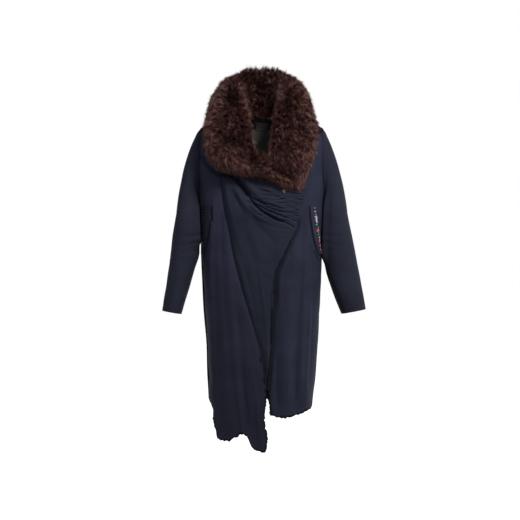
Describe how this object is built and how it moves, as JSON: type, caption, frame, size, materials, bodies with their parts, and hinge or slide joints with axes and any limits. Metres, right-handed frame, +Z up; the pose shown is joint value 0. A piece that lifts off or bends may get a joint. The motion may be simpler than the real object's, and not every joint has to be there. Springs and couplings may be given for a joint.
{
  "type": "parka",
  "caption": "Long wrap-over parka coat, hollow as worn, with a deep fur shawl collar, gathered draped front, slim set-in sleeves and an uneven hem.",
  "frame": {"origin": "middle of the neck, level with the top ends of the shoulder seams, where the wearer's neck holds the coat up", "axes": "+Z up along the body, +X towards the wearer's left, -Y out of the wearer's front"},
  "size_m": [0.689, 0.3456, 1.3116],
  "materials": {
    "twill": "washed cotton twill, very dark navy, matt with a faint sheen",
    "fur": "long dense dark brown faux fur",
    "lining": "plain dark grey-green cotton facing",
    "label": "bare woven label, black",
    "trim": "narrow floral embroidered band",
    "metal": "aged snap cap"
  },
  "bodies": {
    "root": {"back_panel": "twill", "side_front_right": "twill", "draped_front_right": "twill", "front_left": "twill", "sleeve_left": "twill", "sleeve_right": "twill", "collar_right": "fur", "collar_left": "fur", "neck_facing": "lining", "neck_label": "label", "pocket_band_left": "twill", "pocket_band_right": "twill", "pocket_trim_left": "trim", "pocket_trim_right": "trim", "top_snap": "metal"}
  },
  "joints": []
}
